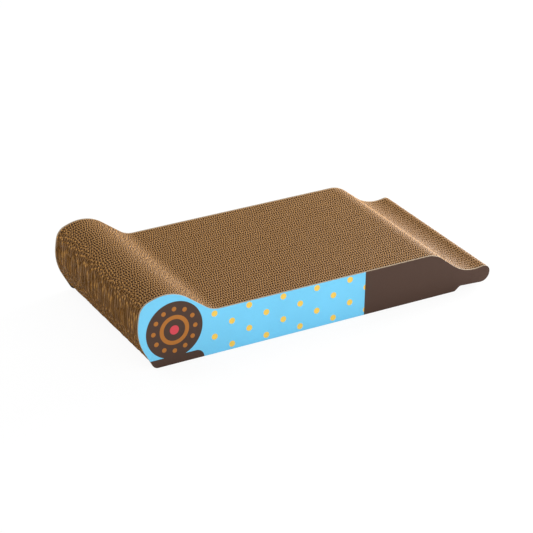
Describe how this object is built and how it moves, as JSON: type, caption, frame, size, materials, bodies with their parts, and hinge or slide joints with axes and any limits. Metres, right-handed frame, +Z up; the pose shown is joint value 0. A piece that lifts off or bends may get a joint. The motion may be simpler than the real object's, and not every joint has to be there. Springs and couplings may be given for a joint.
{
  "type": "cat scratcher lounge",
  "caption": "Cat scratcher lounge of upright corrugated boards glued side by side, with printed side panels, a raised roll at one end, a flat seat and a low tail.",
  "frame": {"origin": "on the floor, under the middle of the block's bounding box", "axes": "+X from the roll to the tail along the length, +Y from the front panel to the back panel, +Z up"},
  "size_m": [0.52, 0.252, 0.0982],
  "materials": {
    "kraft_corrugated": "bare kraft corrugated board, cut edges up",
    "lined_board": "pale lined board with a cut edge",
    "printed_paper": "matt printed paper: sky blue with yellow dots, and dark brown"
  },
  "bodies": {
    "root": {"core_layer_01": "kraft_corrugated", "core_layer_02": "kraft_corrugated", "core_layer_03": "kraft_corrugated", "core_layer_04": "kraft_corrugated", "core_layer_05": "kraft_corrugated", "core_layer_06": "kraft_corrugated", "core_layer_07": "kraft_corrugated", "core_layer_08": "kraft_corrugated", "core_layer_09": "kraft_corrugated", "core_layer_10": "kraft_corrugated", "core_layer_11": "kraft_corrugated", "core_layer_12": "kraft_corrugated", "core_layer_13": "kraft_corrugated", "core_layer_14": "kraft_corrugated", "core_layer_15": "kraft_corrugated", "core_layer_16": "kraft_corrugated", "core_layer_17": "kraft_corrugated", "core_layer_18": "kraft_corrugated", "core_layer_19": "kraft_corrugated", "core_layer_20": "kraft_corrugated", "core_layer_21": "kraft_corrugated", "core_layer_22": "kraft_corrugated", "core_layer_23": "kraft_corrugated", "core_layer_24": "kraft_corrugated", "core_layer_25": "kraft_corrugated", "core_layer_26": "kraft_corrugated", "core_layer_27": "kraft_corrugated", "core_layer_28": "kraft_corrugated", "core_layer_29": "kraft_corrugated", "core_layer_30": "kraft_corrugated", "core_layer_31": "kraft_corrugated", "core_layer_32": "kraft_corrugated", "core_layer_33": "kraft_corrugated", "core_layer_34": "kraft_corrugated", "core_layer_35": "kraft_corrugated", "core_layer_36": "kraft_corrugated", "core_layer_37": "kraft_corrugated", "core_layer_38": "kraft_corrugated", "core_layer_39": "kraft_corrugated", "core_layer_40": "kraft_corrugated", "core_layer_41": "kraft_corrugated", "front_panel_board": "lined_board", "back_panel_board": "lined_board", "front_print_sheet": "printed_paper", "back_print_sheet": "printed_paper"}
  },
  "joints": []
}
